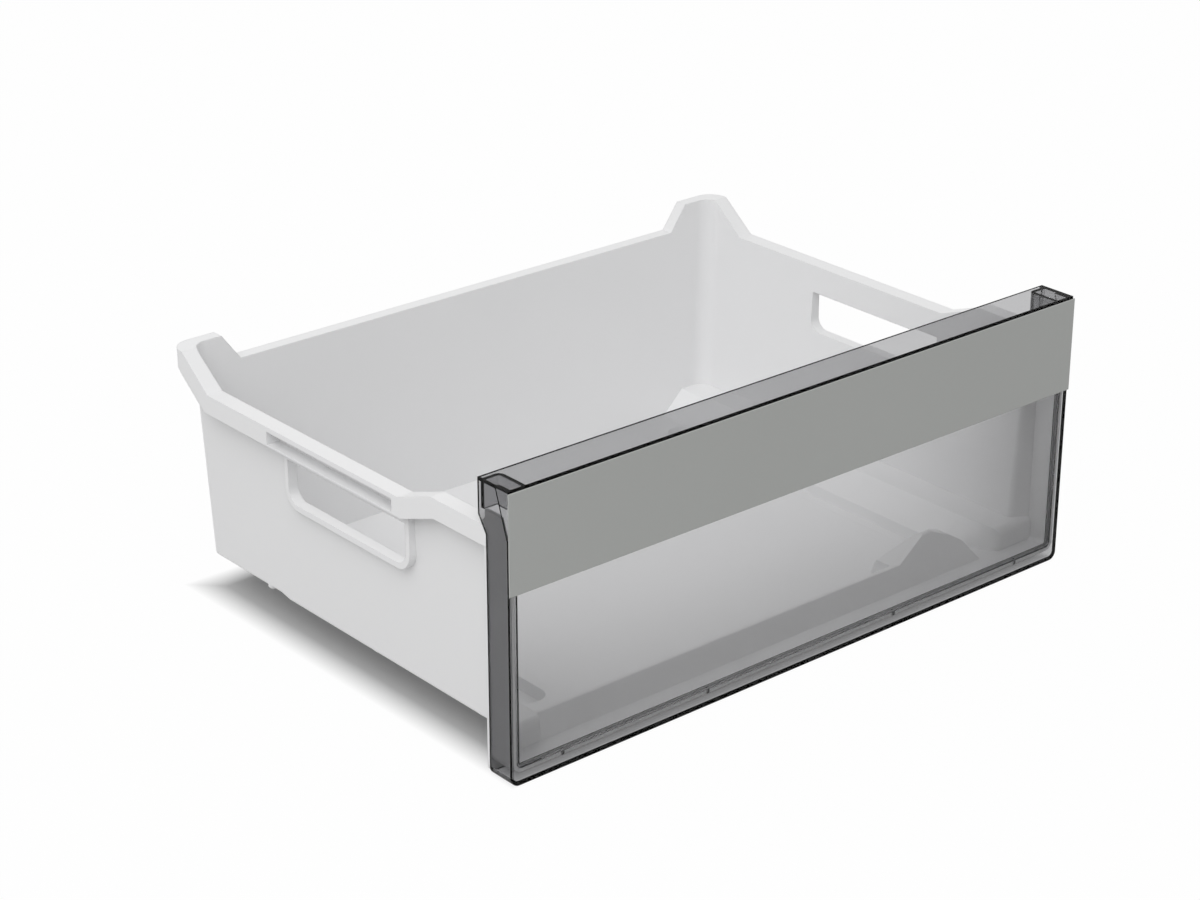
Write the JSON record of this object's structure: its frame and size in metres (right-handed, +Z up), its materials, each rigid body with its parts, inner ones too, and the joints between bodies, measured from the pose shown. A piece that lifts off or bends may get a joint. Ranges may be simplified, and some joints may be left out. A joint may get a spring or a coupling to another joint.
{
  "type": "freezer drawer",
  "caption": "Wide freezer drawer: white moulded tub with hand-holes and raised rear corners, a smoked clear front panel and a grey strip across its top.",
  "frame": {"origin": "on the surface that the drawer stands on, under the middle of its overall box", "axes": "+X across the drawer to the right seen from the front, +Y from the window to the back, +Z up; the window faces -Y"},
  "size_m": [0.445, 0.3294, 0.1785],
  "materials": {
    "white_tub": "fine satin, moulded white polystyrene",
    "smoked_window": "clear smoked polystyrene, polished",
    "grey_strip": "matte silver-grey paint",
    "tape": "thin acrylic foam tape"
  },
  "bodies": {
    "root": {"storage_tub": "white_tub", "window_panel": "smoked_window", "trim_strip": "grey_strip", "mounting_tape": "tape"}
  },
  "joints": []
}
